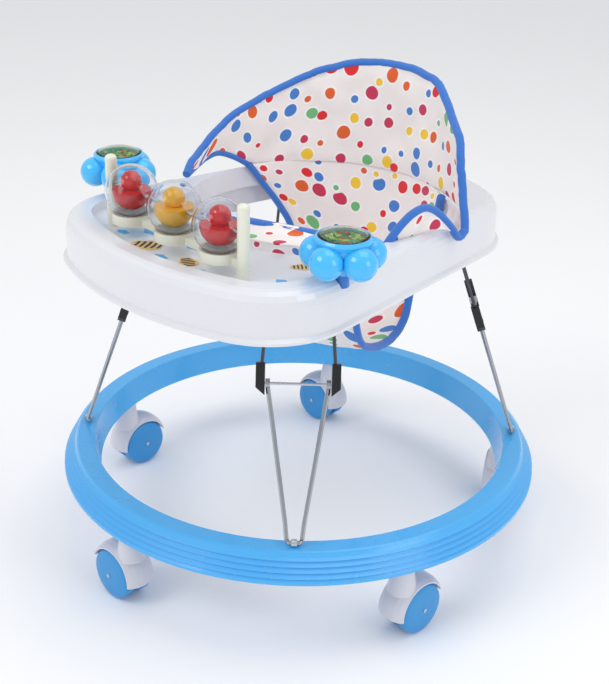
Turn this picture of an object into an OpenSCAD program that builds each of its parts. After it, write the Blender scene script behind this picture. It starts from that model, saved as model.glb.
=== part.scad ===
// Folding round baby walker: castered base ring, four wire legs, toy tray and hanging cloth seat.
// The origin is on the floor under the middle of the base ring. +Z is up, the front faces -Y.
// All lengths are in millimetres and all angles in degrees.

/* [Base ring] */
// Outside diameter of the ring over its bottom lip
ring_d = 580; // [480:1:700]
// Height of the ring's top face above the floor
ring_top = 128; // [120:1:160]
// Height of the ring's side
ring_h = 32; // [26:1:40]
// Width of the flat top face
ring_band = 23; // [19:1:30]

/* [Casters] */
// Wheel diameter
wheel_d = 60; // [48:1:72]
// Width of one wheel
wheel_w = 15; // [12:1:18]
// Distance from the swivel pin to the axle
trail = 17; // [14:1:21]
// Diameter of the steel swivel pin
stem_d = 8; // [6:0.5:10]

/* [Legs] */
// Diameter of the lower V wire
v_wire_d = 5; // [4:0.1:6]
// Diameter of the upper wire
u_wire_d = 4; // [3:0.1:5]
// Length of the lower V wire from ring pivot to knee
v_len = 170; // [140:1:204]
// Distance between the eyes at the top of the V
v_spread = 64; // [52:1:76]
// Distance from the middle where the upper wires pass the tray's lip
lip_pass_r = 182.3; // [172:0.1:186]

/* [Tray] */
// Width of the tray
tray_w = 394; // [386:1:470]
// Height of the tray's bottom lip above the floor
tray_lip = 365; // [345:1:430]
// Depth of the tray from rim to lip
tray_depth = 54; // [50:1:64]
// Diameter of the seat opening
seat_open_d = 304; // [254:1:310]
// Wall thickness of the moulded tray
tray_wall = 2.8; // [2.4:0.1:3.2]

/* [Toys] */
// Diameter of the clear balls
ball_d = 58; // [48:1:64]
// Distance between the toy bar's posts
post_gap = 218; // [200:1:240]
// Diameter of the flower knobs
flower_d = 91; // [76:1:100]

/* [Seat] */
// Height of the backrest above the tray rim
back_h = 132; // [110:1:158]
// Turn of the cloth seat in its opening
seat_turn = 20; // [0:1:24]
// Thickness of the padded backrest
back_t = 8; // [6:0.5:9]
// Depth of the cloth seat below the tray rim
sling_depth = 176; // [146:1:200]

/* [Hidden] */
$fn = 72;
gap = 0.05;        // radial clearance of every running fit

// base ring
lip_r = ring_d / 2;
top_r = lip_r - 15;
band_in_r = top_r - ring_band;
foot_in_r = band_in_r - 6.5;
ring_z0 = ring_top - ring_h;
ring_wall = 3;
rib_n = 4;         // raised ribs round the outside
rib_out = 1.6;
mid_r = (top_r + band_in_r) / 2;

// casters
caster_az = [0, 72, -72, 144, -144];
caster_dir = [180, 90, 90, 120, 180];
wheel_r = wheel_d / 2;
stem_r = stem_d / 2;
axle_r = 2.5;
web_t = 6;         // plate of the hood between the wheels
wheel_in = web_t / 2 + 1.5;
wheel_dome = 1;    // how far the middle of a wheel's face stands out
hood_w = 2 * (wheel_in + wheel_w) - 2;
hood_gap = 1.8;
hood_t = 6.6;
boss_r = 9;
stem_z0 = wheel_d + 10;
stem_z1 = ring_top - 8;

// legs
leg_az = [45, 135, -135, -45];
v_r = v_wire_d / 2;
u_r = u_wire_d / 2;
foot_z = ring_top + v_r + 1.5;
foot_half = 5;     // half of the straight pivot at the bottom of the V
pivot_up = 21;     // upper pivots above the tray's lip
top_pivot_z = tray_lip + pivot_up;
top_pivot_r = lip_pass_r - pivot_up * (mid_r - lip_pass_r) / (tray_lip - foot_z);
lean = atan2(mid_r - top_pivot_r, top_pivot_z - foot_z);
leg_len = norm([mid_r - top_pivot_r, top_pivot_z - foot_z]);
eye_r = v_r + 2.7;
eye_w = 4.5;
eye_y = v_spread / 2;
rod_r = 1.5;
block_w = 9.5;
block_y = eye_y + eye_w / 2 + 0.8 + block_w / 2;
block_dn = 12;
block_up = 22;
top_half = block_y - 10;
rod_half = block_y - block_w / 2 - 0.3;
mount_y = 20;
mount_w = 10;

// tray
tray_y0 = 263;     // front of the tray from the ring's middle
tray_y1 = 243;     // back of the tray
tray_top = tray_lip + tray_depth;
deck_z = tray_top - 10;
corner_r = 94;
rear_r = 98;
front_c = [tray_w / 2 - corner_r, -150];
rear_c = [tray_w / 2 - 138, 132];
inner_wall_h = 26; // wall that hangs down round the seat opening
open_r = seat_open_d / 2;
open_y = 20;
rim_w = 34;
play_y = -67;      // the sunk play area lies in front of this line

// toys
ball_r = ball_d / 2;
ball_step = 73.5;
ball_wall = 1.5;
toy_y = -190;
rod_z = deck_z + 20 + ball_r;
toy_rod_r = 2;
cup_gap = 2;       // between a ball and its cup
cup_z = rod_z - ball_r - cup_gap - 4;
cup_r = ball_r * 0.76;
cup_h = 11;
rail_w = 8;
post_r = 6.5;
flower_at = [tray_w / 2 - 13, -125];
flower_z = deck_z + 15;
flower_h = 32;
rim_h = flower_h + 7;
petal_r = flower_d * 0.19;
petal_n = 5;
dome_r = flower_d * 0.29;
spin_r = 7;

// seat
seat_z = tray_top + 2;
wing_x = open_r + 11;
wall_r = open_r - 2;
sling_t = 4;
strip_w = 140;
crotch_z = tray_top - sling_depth;
pipe_r = 3.5;
edge_gap = 0.8;     // between the binding and the cloth's edge

// ---- shared shapes ----

// a cylinder along Y, centred
module along_y(r, w) {
    rotate([90, 0, 0])
        cylinder(r = r, h = w, center = true);
}

// a cylinder along X, centred
module along_x(r, w) {
    rotate([0, 90, 0])
        cylinder(r = r, h = w, center = true);
}

// a flattened ball, r across and h high from its middle
module lobe(r, h) {
    rotate_extrude()
        polygon([for (a = [-90 : 10 : 90]) [r * cos(a), h * sin(a)]]);
}

function arc(c, r, a0, a1, n) = [for (i = [0 : n]) c + r * [cos(a0 + (a1 - a0) * i / n),
                                                         sin(a0 + (a1 - a0) * i / n)]];

// The tray's outline, moved in by d: tangent arcs at front, front corners, rear corners and rear.
a_front = front_c.y + tray_y0;
front_r = (corner_r ^ 2 - a_front ^ 2 - front_c.x ^ 2) / (2 * (corner_r - a_front));
b_rear = tray_y1 - rear_c.y;
rear_arc_r = (rear_c.x ^ 2 + b_rear ^ 2 - rear_r ^ 2) / (2 * (b_rear - rear_r));
front_mid = [0, front_r - tray_y0];
rear_mid = [0, tray_y1 - rear_arc_r];
side = rear_c - front_c;
side_a = atan2(side.y, side.x) - 90 + asin((corner_r - rear_r) / norm(side));
front_a = atan2(front_c.y - front_mid.y, front_c.x);
rear_a = atan2(rear_c.y - rear_mid.y, rear_c.x);
function half_outline(d) = concat(
    arc(front_mid, front_r - d, -90, front_a, 5),
    arc(front_c, corner_r - d, front_a, side_a, 12),
    arc(rear_c, rear_r - d, side_a, rear_a, 9),
    arc(rear_mid, rear_arc_r - d, rear_a, 90, 5));
function tidy(p) = [for (i = [0 : len(p) - 1]) if (i == 0 || norm(p[i] - p[i - 1]) > 0.01) p[i]];
function outline(d) = let (h = tidy(half_outline(d)), n = len(h))
    concat(h, [for (i = [n - 2 : -1 : 1]) [-h[i].x, h[i].y]]);

// a solid skinned over outlines, levels = [[inset, z], ...] from bottom to top
module skin(levels) {
    n = len(outline(0));
    m = len(levels);
    pts = [for (l = levels) for (p = outline(l[0])) [p.x, p.y, l[1]]];
    sides = [for (j = [0 : m - 2]) for (i = [0 : n - 1])
        [j * n + i, (j + 1) * n + i, (j + 1) * n + (i + 1) % n, j * n + (i + 1) % n]];
    polyhedron(pts, concat([[for (i = [0 : n - 1]) i]], sides,
        [[for (i = [n - 1 : -1 : 0]) (m - 1) * n + i]]));
}

// a bent round cord through the points of path, with flat ends
module cord(path, r, sides = 8) {
    n = len(path);
    function t(i) = let (v = path[min(i + 1, n - 1)] - path[max(i - 1, 0)]) v / norm(v);
    function side_of(v) = let (c = cross(v, abs(v.z) > 0.95 ? [1, 0, 0] : [0, 0, 1])) c / norm(c);
    pts = [for (i = [0 : n - 1]) let (s = side_of(t(i)), u = cross(t(i), s))
        for (k = [0 : sides - 1]) path[i] + r * (cos(360 * k / sides) * s + sin(360 * k / sides) * u)];
    faces = concat([[for (k = [0 : sides - 1]) k]],
        [for (i = [0 : n - 2]) for (k = [0 : sides - 1])
            [i * sides + k, (i + 1) * sides + k, (i + 1) * sides + (k + 1) % sides,
             i * sides + (k + 1) % sides]],
        [[for (k = [sides - 1 : -1 : 0]) (n - 1) * sides + k]]);
    polyhedron(pts, faces);
}

// ---- base ring ----

// One hollow moulding, open underneath, with ribs round the skirt and bosses for the casters.
module base_ring() {
    function skirt(z) = lip_r - 1.5 - (lip_r - 1.5 - top_r) * (z - ring_z0 - 5) / (ring_h - 8);
    rib_h = (ring_h - 10) / rib_n;
    ribs = [for (i = [0 : rib_n - 1]) let (z = ring_z0 + 6 + i * rib_h) each [
        [skirt(z), z],
        [skirt(z) + rib_out, z + rib_h * 0.3],
        [skirt(z + rib_h) + rib_out * 0.8, z + rib_h * 0.7]]];
    color([0.29, 0.68, 0.93])
    difference() {
        union() {
            rotate_extrude($fn = 180)
                polygon(concat([[foot_in_r, ring_z0], [foot_in_r + ring_wall, ring_z0],
                    [band_in_r + ring_wall, ring_top - ring_wall],
                    [top_r - ring_wall - 1, ring_top - ring_wall],
                    [lip_r - ring_wall - 2, ring_z0 + 3],
                    [lip_r - ring_wall, ring_z0], [lip_r, ring_z0], [lip_r, ring_z0 + 3.5]],
                    ribs,
                    [[top_r, ring_top - 3], [top_r - 1, ring_top - 1], [top_r - 3, ring_top],
                     [band_in_r + 1, ring_top], [band_in_r, ring_top - 1]]));
            for (a = caster_az)
                rotate([0, 0, a - 90])
                    translate([mid_r, 0, ring_z0 + 0.5])
                        cylinder(r = boss_r, h = ring_h - ring_wall);
        }
        for (a = caster_az)
            rotate([0, 0, a - 90])
                translate([mid_r, 0, ring_z0 - 1])
                    cylinder(r = stem_r + gap, h = stem_z1 + 1 - ring_z0 + 1);
        for (a = leg_az)
            rotate([0, 0, a - 90])
                translate([mid_r, 0, ring_top - 5])
                    cylinder(r = 2, h = 6);
    }
}

// Steel eye bolts on the ring's top face that the bottoms of the legs turn in.
module foot_eyes() {
    color([0.75, 0.76, 0.78])
    for (a = leg_az)
        rotate([0, 0, a - 90])
            translate([mid_r, 0, 0])
                difference() {
                    union() {
                        translate([0, 0, foot_z])
                            along_y(v_r + 2, 6);
                        translate([0, 0, ring_top])
                            cylinder(r = 2.6, h = 2);
                        translate([0, 0, ring_top - ring_wall])
                            cylinder(r = 2, h = ring_wall + 1);
                    }
                    translate([0, 0, foot_z])
                        along_y(v_r + gap, 8);
                    translate([0, 0, ring_top - 5])
                        difference() {
                            cylinder(r = 12, h = 5);
                            translate([0, 0, -1])
                                cylinder(r = 2, h = 7);
                        }
                }
}

// ---- casters ----

// puts a caster piece, drawn with its swivel pin on Z and its wheels towards -X, in its place
module at_caster(i) {
    rotate([0, 0, caster_az[i] - 90])
        translate([mid_r, 0, 0])
            rotate([0, 0, caster_dir[i] - 180 - caster_az[i] + 90])
                children();
}

// steel swivel pin, pressed into the hood and free to turn in the ring's boss
module caster_stem(i) {
    color([0.7, 0.71, 0.73])
    at_caster(i)
        translate([0, 0, stem_z0])
            cylinder(r = stem_r, h = stem_z1 - stem_z0);
}

// white plastic hood over both wheels, with a plate between them that carries the axle
module caster_hood(i) {
    in_r = wheel_r + hood_gap;
    out_r = in_r + hood_t;
    half = hood_w / 2;
    color([0.9, 0.91, 0.94])
    at_caster(i)
        difference() {
            union() {
                difference() {
                    union() {
                        intersection() {
                            translate([-trail, 0, wheel_r])
                                rotate([90, 0, 0])
                                    rotate_extrude()
                                        polygon([[0, -half], [in_r + 1.6, -half],
                                            [out_r - 2.4, 5 - half], [out_r - 0.5, -7], [out_r, 0],
                                            [out_r - 0.5, 7], [out_r - 2.4, half - 5],
                                            [in_r + 1.6, half], [0, half]]);
                            translate([-trail, 0, wheel_r])
                                rotate([90, 0, 0])
                                    linear_extrude(2 * half + 2, center = true)
                                        polygon([[out_r + 4, -5], [out_r + 4, out_r + 4],
                                            [-out_r - 4, out_r + 4], [-out_r - 4, 16]]);
                        }
                        translate([0, 0, wheel_d - 4])
                            cylinder(r1 = 17, r2 = 12, h = ring_z0 - wheel_d - 4);
                        translate([0, 0, ring_z0 - 9])
                            cylinder(r = 12, h = 8);
                    }
                    translate([-trail, 0, wheel_r])
                        along_y(in_r, hood_w + 40);
                }
                intersection() {
                    translate([-trail, 0, wheel_r])
                        along_y(in_r + 1, web_t);
                    translate([-trail, 0, wheel_r])
                        rotate([90, 0, 0])
                            linear_extrude(web_t, center = true)
                                polygon([[out_r, -5], [out_r, out_r], [-out_r, out_r], [-out_r, 16],
                                    [-7, -7], [7, -7]]);
                }
            }
            translate([-trail, 0, wheel_r])
                along_y(axle_r + gap, 60);
            translate([0, 0, stem_z0])
                cylinder(r = stem_r, h = 60);
        }
}

// two blue wheels of one caster, pressed on the ends of their axle
module caster_wheels(i) {
    a = wheel_in;
    b = wheel_in + wheel_w;
    color([0.2, 0.57, 0.8])
    at_caster(i)
        translate([-trail, 0, wheel_r])
            for (s = [-1, 1])
                rotate([90 * s, 0, 0])
                    rotate_extrude()
                        polygon([[axle_r, a], [wheel_r - 2, a], [wheel_r, a + 2], [wheel_r, b - 4],
                            [wheel_r - 1.2, b - 2], [wheel_r - 4, b - 0.8], [wheel_r * 0.6, b + 0.4],
                            [axle_r, b + wheel_dome]]);
}

// steel axle that turns in the hood's plate
module caster_axle(i) {
    color([0.75, 0.76, 0.78])
    at_caster(i)
        translate([-trail, 0, wheel_r])
            along_y(axle_r, 2 * (wheel_in + wheel_w + wheel_dome + 1));
}

// ---- legs ----

// puts a leg piece in place: Y runs along the ring, Z up the leg from the ring pivot
module at_leg(i) {
    rotate([0, 0, leg_az[i] - 90])
        translate([mid_r, 0, foot_z])
            rotate([0, -lean, 0])
                children();
}

// chromed V wire, its straight bottom turning in the ring's eye, its ends bent into eyes
module lower_leg(i) {
    color([0.72, 0.73, 0.75])
    at_leg(i)
        difference() {
            union() {
                along_y(v_r, 2 * foot_half);
                for (s = [-1, 1]) {
                    cord([[0, s * (foot_half - 1.4), 0], [0, s * (foot_half + 0.4), 0.2],
                        [0, s * (foot_half + 2.2), 1.6], [0, s * (foot_half + 3.4), 4.5],
                        [0, s * (foot_half + 5), 20], [0, s * eye_y, v_len - 2.4]], v_r - 0.04, 10);
                    translate([0, s * eye_y, v_len])
                        along_y(eye_r, eye_w);
                }
            }
            translate([0, 0, v_len])
                along_y(rod_r, v_spread + 3 * eye_w);
        }
}

// dark upper wire: a bow whose straight top turns in the mounts under the tray
module upper_wire(i) {
    at_leg(i) {
        translate([0, 0, leg_len])
            along_y(u_r, 2 * top_half);
        for (s = [-1, 1])
            cord([[0, s * (top_half - 1.2), leg_len], [0, s * (top_half + 0.4), leg_len - 0.2],
                [0, s * (top_half + 1.8), leg_len - 1.4], [0, s * (top_half + 2.6), leg_len - 4],
                [0, s * block_y, v_len + 5]], u_r - 0.04, 10);
    }
}

module upper_leg(i) {
    color([0.3, 0.3, 0.31])
    union()
        upper_wire(i);
}

// black plastic blocks that clamp the ends of the upper wire at the knee
module knee_blocks(i) {
    color([0.08, 0.08, 0.09])
    difference() {
        at_leg(i)
            for (s = [-1, 1])
                translate([0, s * block_y, v_len])
                    rotate([0, 90, 0])
                        linear_extrude(block_w, center = true)
                            polygon([[-block_up, -block_w / 2], [-block_up, block_w / 2],
                                [block_dn - (s < 0 ? 0 : 8), block_w / 2],
                                [block_dn - (s > 0 ? 0 : 8), -block_w / 2]]);
        upper_wire(i);
    }
}

// thin rod pressed in both eyes of the V, its ends against the knee blocks
module knee_rod(i) {
    color([0.6, 0.61, 0.63])
    at_leg(i)
        translate([0, 0, v_len])
            along_y(rod_r, 2 * rod_half);
}

// ---- tray ----

// everything of the underside that is hollow, moved in by d from the outline
module hollow(d, clear) {
    difference() {
        polygon(outline(d));
        translate([0, open_y])
            circle(open_r + clear);
    }
}

module play_area(d) {
    intersection() {
        polygon(outline(d));
        translate([-tray_w, -tray_w])
            square([2 * tray_w, tray_w + play_y - (d - rim_w)]);
    }
}

// One white moulding: flared lip, deep skirt, raised rounded rim, sunk play area, round opening.
module tray() {
    color([0.93, 0.94, 0.96])
    difference() {
        skin([[0, tray_lip], [0, tray_lip + 3], [4, tray_lip + 6], [4.5, tray_top - 17],
            [5.6, tray_top - 10], [8.5, tray_top - 4.5], [13, tray_top - 1.2], [18, tray_top]]);
        translate([0, 0, tray_lip - 1])
            linear_extrude(deck_z - tray_wall - tray_lip + 1)
                hollow(4 + tray_wall, tray_wall);
        translate([0, 0, deck_z - tray_wall - 1])
            linear_extrude(tray_top - deck_z + 1)
                difference() {
                    hollow(12 + tray_wall, tray_wall);
                    play_area(rim_w - tray_wall);
                }
        translate([0, 0, deck_z])
            linear_extrude(20)
                play_area(rim_w);
        translate([0, open_y, tray_lip - 1])
            cylinder(r = open_r, h = tray_depth + 2, $fn = 144);
        translate([0, open_y, tray_lip - 1])
            cylinder(r = open_r + tray_wall + 0.5, h = tray_depth - inner_wall_h + 1, $fn = 144);
        for (s = [-1, 1])
            translate([s * flower_at.x, flower_at.y, deck_z])
                cylinder(r = spin_r + 1, h = 20);
    }
}

// black blocks under the tray that the tops of the upper wires turn in
module leg_mounts() {
    color([0.1, 0.1, 0.11])
    for (i = [0 : 3])
        rotate([0, 0, leg_az[i] - 90])
            for (s = [-1, 1])
                difference() {
                    translate([top_pivot_r - 5.5, s * mount_y - mount_w / 2, top_pivot_z - 6])
                        cube([11, mount_w,
                            (cos(leg_az[i]) > 0 ? deck_z : tray_top) - tray_wall - top_pivot_z + 6]);
                    translate([top_pivot_r, s * mount_y, top_pivot_z])
                        along_y(u_r + gap, mount_w + 2);
                }
}

// thin printed film on the play area: plain clouds and two spotted patches
module tray_stickers() {
    clouds = [[-90, -173, 14], [-58, -207, 20], [20, -208, 22], [60, -206, 18], [-10, -168, 15]];
    color([0.35, 0.68, 0.88])
    translate([0, 0, deck_z])
        linear_extrude(0.4) {
            for (c = clouds)
                for (k = [-1, 0, 1])
                    translate([c.x + k * c.z / 2, c.y])
                        circle(c.z * (0.36 - 0.08 * abs(k)), $fn = 32);
            for (x = [-38, 42])
                translate([x, toy_y + 22])
                    circle(11, $fn = 32);
        }
}

// ---- toys ----

module post() {
    cylinder(r = post_r, h = rod_z - deck_z + 28);
    translate([0, 0, rod_z - deck_z + 28])
        lobe(post_r, post_r * 0.7);
}

// ivory frame: two posts joined by a slim rail that carries a cup under each ball
module toy_frame() {
    color([0.9, 0.9, 0.83])
    difference() {
        union() {
            for (s = [-1, 1])
                translate([s * post_gap / 2, toy_y, deck_z])
                    post();
            translate([-post_gap / 2, toy_y - rail_w / 2, cup_z])
                cube([post_gap, rail_w, rail_w]);
            for (k = [-1, 0, 1])
                translate([k * ball_step, toy_y, cup_z])
                    cylinder(r = cup_r, h = cup_h, $fn = 64);
        }
        for (k = [-1, 0, 1])
            translate([k * ball_step, toy_y, rod_z])
                sphere(ball_r + cup_gap, $fn = 96);
        translate([0, toy_y, rod_z])
            along_x(toy_rod_r, post_gap + 1);
    }
}

module toy_rod() {
    color([0.8, 0.81, 0.83])
    translate([0, toy_y, rod_z])
        along_x(toy_rod_r, post_gap + 1);
}

// clear hollow ball that spins on the rod
module ball_shell(k) {
    color([0.85, 0.92, 0.97, 0.4])
    translate([k * ball_step, toy_y, rod_z])
        rotate([0, 90, 0])
            difference() {
                sphere(ball_r, $fn = 96);
                sphere(ball_r - ball_wall, $fn = 96);
                cylinder(r = toy_rod_r + gap, h = ball_d + 10, center = true);
            }
}

// plain moulded shape inside a ball: a bowl with a round knob
module ball_figure(k) {
    r = ball_r - 8;
    color(k == 0 ? [0.98, 0.75, 0.12] : [0.85, 0.1, 0.12])
    translate([k * ball_step, toy_y, rod_z])
        difference() {
            union() {
                difference() {
                    sphere(r);
                    translate([0, 0, r + 2])
                        cube([3 * r, 3 * r, 2 * r], center = true);
                }
                translate([0, 0, r * 0.5])
                    sphere(r * 0.55);
            }
            along_x(toy_rod_r + gap, ball_d);
        }
}

// blue stems of both flower knobs
module flower_stems() {
    color([0.2, 0.5, 0.8])
    for (s = [-1, 1])
        translate([s * flower_at.x, flower_at.y, 0]) {
            translate([0, 0, deck_z])
                cylinder(r = spin_r, h = flower_z - deck_z - gap);
            translate([0, 0, deck_z + 1])
                cylinder(r = 3, h = flower_z - deck_z + 8);
        }
}

// sky blue flower: five rounded petals round a cup with a thick rim
module flower(s) {
    color([0.27, 0.74, 0.97])
    translate([s * flower_at.x, flower_at.y, flower_z])
        difference() {
            union() {
                rotate_extrude()
                    polygon([[0, 0], [flower_d * 0.14, 0], [flower_d * 0.2, 3],
                        [dome_r, flower_h - 2], [dome_r + 3, flower_h + 3], [dome_r + 3, flower_h + 5],
                        [dome_r + 1.5, rim_h], [0, rim_h]]);
                for (k = [0 : petal_n - 1])
                    rotate([0, 0, 45 + 90 * s + k * 360 / petal_n])
                        translate([flower_d / 2 - petal_r, 0, petal_r])
                            sphere(petal_r);
            }
            translate([0, 0, flower_h - 4])
                cylinder(r = dome_r - 1, h = 20);
            translate([0, 0, -1])
                cylinder(r = 3 + gap, h = 11);
        }
}

// green bubbled disc with red beads under the dome
module flower_insert(s) {
    color([0.3, 0.65, 0.6])
    translate([s * flower_at.x, flower_at.y, flower_z + flower_h - 4]) {
        cylinder(r = dome_r - 1 - gap, h = 7);
        for (k = [0 : 5])
            rotate([0, 0, k * 60])
                translate([dome_r * 0.55, 0, 6])
                    sphere(4, $fn = 24);
    }
}

// clear shallow dome that seats on the cup's rim
module flower_dome(s) {
    big_r = 2 * dome_r;
    color([0.85, 0.95, 0.9, 0.4])
    translate([s * flower_at.x, flower_at.y, flower_z + rim_h])
        difference() {
            translate([0, 0, -sqrt(big_r ^ 2 - dome_r ^ 2)])
                difference() {
                    sphere(big_r, $fn = 96);
                    sphere(big_r - 1.5, $fn = 96);
                }
            translate([0, 0, -3 * dome_r])
                cube([6 * dome_r, 6 * dome_r, 6 * dome_r], center = true);
        }
}

// ---- seat ----

// Height of the backrest's edge above the seam, as a share of back_h, at angle a from its middle.
function back_edge(a) = back_h * lookup(abs(a),
    [[0, 1], [15, 0.985], [30, 0.93], [45, 0.84], [57, 0.72], [68, 0.6], [78, 0.46], [85, 0.3], [90, 0.1]]);
// Height of the leg hole's edge above the seam at angle a from the middle of the back.
function hole_edge(a) = lookup(abs(a), [[40, -80], [46, -54], [52, -30], [60, -6], [66, 8],
    [72, 16], [78, 17], [84, 12], [90, 1]]);
seam_a = 62;       // the leg holes rise above the seam beyond this angle
turn_a = 42;       // the top edge is cut from the front up to here, and from the side beyond

module in_seat() {
    translate([0, open_y, 0])
        rotate([0, 0, seat_turn])
            children();
}

// a wall round the back half of the opening, wx by wy to its outside
module half_wall(wx, wy, t, z, h) {
    translate([0, 0, z])
        intersection() {
            difference() {
                scale([wx / wy, 1, 1])
                    cylinder(r = wy, h = h, $fn = 144);
                translate([0, 0, -1])
                    scale([(wx - t) / (wy - t), 1, 1])
                        cylinder(r = wy - t, h = h + 2, $fn = 144);
            }
            translate([-wx - 1, 0, -1])
                cube([2 * wx + 2, wy + 1, h + 2]);
        }
}

// Padded cloth backrest that stands on the tray rim and arches over the leg holes.
module seat_back() {
    mid_x = wing_x - back_t / 2;
    mid_y = wall_r - back_t / 2;
    color([0.94, 0.91, 0.89])
    in_seat()
        difference() {
            half_wall(wing_x, wall_r, back_t, seat_z, back_h + 10);
            translate([0, wall_r + 5, seat_z])
                rotate([90, 0, 0])
                    linear_extrude(wall_r + 10)
                        polygon(concat(
                            [for (a = [-turn_a : 6 : turn_a]) [mid_x * sin(a), back_edge(a)]],
                            [[wing_x + 5, back_edge(turn_a)], [wing_x + 5, back_h + 20],
                             [-wing_x - 5, back_h + 20], [-wing_x - 5, back_edge(turn_a)]]));
            translate([-wing_x - 5, 0, seat_z])
                rotate([90, 0, 90])
                    linear_extrude(2 * wing_x + 10)
                        polygon(concat([[-5, back_edge(90)]],
                            [for (a = [90 : -4 : turn_a]) [mid_y * cos(a), back_edge(a)]],
                            [[mid_y * cos(turn_a), back_h + 20], [-5, back_h + 20]]));
            translate([-wing_x - 5, 0, seat_z])
                rotate([90, 0, 90])
                    linear_extrude(2 * wing_x + 10)
                        polygon(concat([[-5, -5], [mid_y * cos(seam_a), -5]],
                            [for (a = [seam_a : 4 : 90]) [mid_y * cos(a), hole_edge(a)]],
                            [[-5, hole_edge(90)]]));
        }
}

// Cloth below the rim: rear wall, strip under the crotch and the front panel.
module seat_sling() {
    z1 = seat_z;
    z0 = crotch_z;
    d = z1 - z0;
    low = [[wall_r, z1], [wall_r - 2, z1 - 0.22 * d], [wall_r - 10, z1 - 0.5 * d],
        [wall_r - 28, z0 + 0.24 * d], [wall_r - 56, z0 + 0.08 * d], [wall_r - 92, z0 + 2], [0, z0]];
    inner = [for (i = [len(low) - 1 : -1 : 0]) [max(low[i].x - sling_t, 0), min(low[i].y + sling_t, z1)]];
    front = [[0, z0], [-40, z0 + 12], [-72, z0 + 0.4 * d], [-open_r * 0.62, z1 - 8]];
    color([0.93, 0.9, 0.88])
    in_seat() {
        intersection() {
            rotate_extrude(angle = 180, $fn = 144)
                polygon(concat(low, inner));
            union() {
                translate([-strip_w / 2, 0, z0 - 5])
                    cube([strip_w, wall_r + 5, d + 10]);
                translate([-wall_r - 5, 0, z1])
                    rotate([90, 0, 90])
                        linear_extrude(2 * wall_r + 10)
                            polygon(concat([for (a = [40 : 5 : seam_a]) [wall_r * cos(a), hole_edge(a)]],
                                [[wall_r * cos(seam_a), 5], [wall_r + 5, 5],
                                 [wall_r + 5, hole_edge(40)]]));
            }
        }
        translate([-strip_w / 2, 0, 0])
            rotate([90, 0, 90])
                linear_extrude(strip_w)
                    polygon(concat(front, [for (i = [3 : -1 : 0])
                        [front[i].x + (i == 0 ? 0 : sling_t), front[i].y + (i == 3 ? 0 : sling_t)]]));
    }
}

// Blue binding along the top of the backrest, round both leg holes and on the front panel.
module seat_piping() {
    off = pipe_r + edge_gap;
    mid_x = wing_x - back_t / 2;
    mid_y = wall_r - back_t / 2;
    function on_wall(a, z) = [mid_x * sin(a), mid_y * cos(a), z];
    function shift(a, s, z, dz, k) = let (n = norm([s, dz]))
        on_wall(a - k * off * dz / n * 180 / PI / mid_y, z + k * off * s / n);
    function edge(a) = let (dz = back_edge(a + 2) - back_edge(a - 2), s = 4 * PI / 180 * mid_y)
        shift(a, s, seat_z + back_edge(a), dz, 1);
    function hole(a, sg) = let (dz = hole_edge(a + 2) - hole_edge(a - 2), s = 4 * PI / 180 * mid_y,
        p = shift(a, s, seat_z + hole_edge(a), dz, -1)) [sg * p.x, p.y, p.z];
    color([0.22, 0.48, 0.8])
    in_seat() {
        cord([for (a = [-84 : 6 : 84]) edge(a)], pipe_r);
        for (sg = [-1, 1])
            cord([for (a = [68 : 3 : 86]) hole(a, sg)], pipe_r);
        translate([-strip_w / 2 - 15, -open_r * 0.62 + sling_t / 2, seat_z - 8 + off])
            along_front();
    }
}

module along_front() {
    rotate([0, 90, 0])
        cylinder(r = pipe_r, h = strip_w + 30);
}

// ---- what is drawn ----
base_ring();
foot_eyes();
for (i = [0 : 4]) {
    caster_stem(i);
    caster_hood(i);
    caster_wheels(i);
    caster_axle(i);
}
for (i = [0 : 3]) {
    lower_leg(i);
    upper_leg(i);
    knee_blocks(i);
    knee_rod(i);
}
tray();
leg_mounts();
tray_stickers();
toy_frame();
toy_rod();
for (k = [-1, 0, 1]) {
    ball_shell(k);
    ball_figure(k);
}
flower_stems();
flower(-1);  // flower_left
flower(1);  // flower_right
flower_dome(-1);  // dome_left
flower_dome(1);  // dome_right
flower_insert(-1);  // insert_left
flower_insert(1);  // insert_right
seat_back();
seat_sling();
seat_piping();
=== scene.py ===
import math

import bpy
import numpy as np
from mathutils import Matrix, Vector, noise


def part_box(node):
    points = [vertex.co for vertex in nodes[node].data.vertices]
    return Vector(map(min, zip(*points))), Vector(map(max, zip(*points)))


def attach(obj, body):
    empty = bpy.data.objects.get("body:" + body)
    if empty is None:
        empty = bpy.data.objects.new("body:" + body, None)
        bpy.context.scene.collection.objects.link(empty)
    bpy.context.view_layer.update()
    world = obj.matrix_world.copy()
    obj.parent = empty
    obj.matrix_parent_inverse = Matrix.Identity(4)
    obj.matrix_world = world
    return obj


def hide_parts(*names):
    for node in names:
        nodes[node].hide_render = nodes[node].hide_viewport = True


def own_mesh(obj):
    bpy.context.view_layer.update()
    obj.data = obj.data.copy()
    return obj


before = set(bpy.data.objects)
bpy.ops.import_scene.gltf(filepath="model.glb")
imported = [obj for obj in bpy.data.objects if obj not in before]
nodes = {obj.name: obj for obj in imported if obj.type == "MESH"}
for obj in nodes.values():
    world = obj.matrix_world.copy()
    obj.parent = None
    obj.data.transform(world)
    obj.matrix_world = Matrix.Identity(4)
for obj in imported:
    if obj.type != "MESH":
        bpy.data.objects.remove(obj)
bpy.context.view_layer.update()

# ---------------------------------------------------------------- studio
# A white sweep under broad soft lights, as a shop picture is lit. The camera stands off the
# walker's front right corner, a little above the backrest.
ring_top = Vector((0, 0, 0.128))
azimuth, elevation, distance = math.radians(45.6), math.radians(28.86), 1.5849
away = Vector((math.sin(azimuth) * math.cos(elevation),
               -math.cos(azimuth) * math.cos(elevation), math.sin(elevation)))
look = -away
side = look.cross(Vector((0, 0, 1))).normalized()
up = side.cross(look)
turn, pitch, roll = math.radians(0.1465), math.radians(3.807), math.radians(1.287)
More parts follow.
